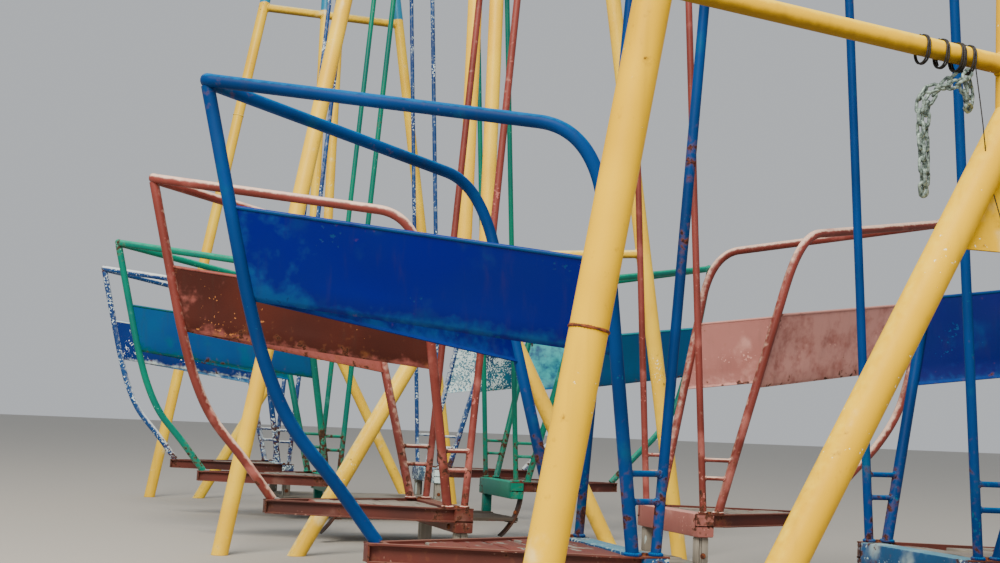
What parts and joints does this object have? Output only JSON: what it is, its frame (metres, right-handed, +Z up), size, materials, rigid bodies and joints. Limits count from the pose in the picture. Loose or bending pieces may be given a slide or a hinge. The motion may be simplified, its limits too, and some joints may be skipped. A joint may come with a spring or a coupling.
{
  "type": "row of four park swing boats",
  "caption": "Row of swing boats hung side by side from a long top beam on braced pipe A-frames, each with seats, rails and side sheets at both ends.",
  "frame": {"origin": "on the ground under the middle of the row's box, 0.04 m to the stern side of the frames' apexes", "axes": "+X along each boat from bow to stern, +Y along the row from the first frame to the last, +Z up"},
  "size_m": [3.3776, 8.286, 4.134],
  "materials": {
    "yellow_paint": "chipped satin enamel",
    "beam_paint": "faded enamel",
    "blue_tube_paint": "worn enamel",
    "blue_sheet_paint": "worn enamel",
    "red_tube_paint": "worn enamel",
    "red_sheet_paint": "worn, rusty enamel",
    "green_tube_paint": "worn enamel",
    "green_sheet_paint": "worn enamel",
    "faded_blue_tube_paint": "peeling enamel",
    "faded_blue_sheet_paint": "peeling enamel",
    "deck": "rusty red-brown channel with weathered boards",
    "weathered_wood": "grey weathered boards and dark rusty steel"
  },
  "bodies": {
    "frame": {"frame_1_left_leg": "yellow_paint", "frame_1_right_leg": "yellow_paint", "frame_1_masts": "yellow_paint", "frame_1_braces": "yellow_paint", "frame_2_left_leg": "yellow_paint", "frame_2_right_leg": "yellow_paint", "frame_2_masts": "yellow_paint", "frame_2_braces": "yellow_paint", "frame_3_left_leg": "yellow_paint", "frame_3_right_leg": "yellow_paint", "frame_3_masts": "yellow_paint", "frame_3_braces": "yellow_paint", "top_beam": "beam_paint"},
    "boat_1": {"boat_1_near_hanger": "blue_tube_paint", "boat_1_far_hanger": "blue_tube_paint", "boat_1_bow_rails": "blue_tube_paint", "boat_1_stern_rails": "blue_tube_paint", "boat_1_bow_shell": "blue_sheet_paint", "boat_1_stern_shell": "blue_sheet_paint", "boat_1_bow_deck": "deck", "boat_1_stern_deck": "deck", "boat_1_foot_well": "weathered_wood"},
    "boat_2": {"boat_2_near_hanger": "red_tube_paint", "boat_2_far_hanger": "red_tube_paint", "boat_2_bow_rails": "red_tube_paint", "boat_2_stern_rails": "red_tube_paint", "boat_2_bow_shell": "red_sheet_paint", "boat_2_stern_shell": "red_sheet_paint", "boat_2_bow_deck": "deck", "boat_2_stern_deck": "deck", "boat_2_foot_well": "weathered_wood"},
    "boat_3": {"boat_3_near_hanger": "green_tube_paint", "boat_3_far_hanger": "green_tube_paint", "boat_3_bow_rails": "green_tube_paint", "boat_3_stern_rails": "green_tube_paint", "boat_3_bow_shell": "green_sheet_paint", "boat_3_stern_shell": "green_sheet_paint", "boat_3_bow_deck": "deck", "boat_3_stern_deck": "deck", "boat_3_foot_well": "weathered_wood"},
    "boat_4": {"boat_4_near_hanger": "faded_blue_tube_paint", "boat_4_far_hanger": "faded_blue_tube_paint", "boat_4_bow_rails": "faded_blue_tube_paint", "boat_4_stern_rails": "faded_blue_tube_paint", "boat_4_bow_shell": "faded_blue_sheet_paint", "boat_4_stern_shell": "faded_blue_sheet_paint", "boat_4_bow_deck": "deck", "boat_4_stern_deck": "deck", "boat_4_foot_well": "weathered_wood"}
  },
  "joints": [
    {"name": "boat_1_swing", "type": "hinge", "parent": "frame", "child": "boat_1", "pos_m": [-0.04, -3.01, 4.06], "axis": [0, 1, 0], "range_deg": [-50, 50]},
    {"name": "boat_2_swing", "type": "hinge", "parent": "frame", "child": "boat_2", "pos_m": [-0.04, -1.329, 4.06], "axis": [0, 1, 0], "range_deg": [-50, 50]},
    {"name": "boat_3_swing", "type": "hinge", "parent": "frame", "child": "boat_3", "pos_m": [-0.04, 0.909, 4.06], "axis": [0, 1, 0], "range_deg": [-50, 50]},
    {"name": "boat_4_swing", "type": "hinge", "parent": "frame", "child": "boat_4", "pos_m": [-0.04, 2.424, 4.06], "axis": [0, 1, 0], "range_deg": [-50, 50]}
  ]
}
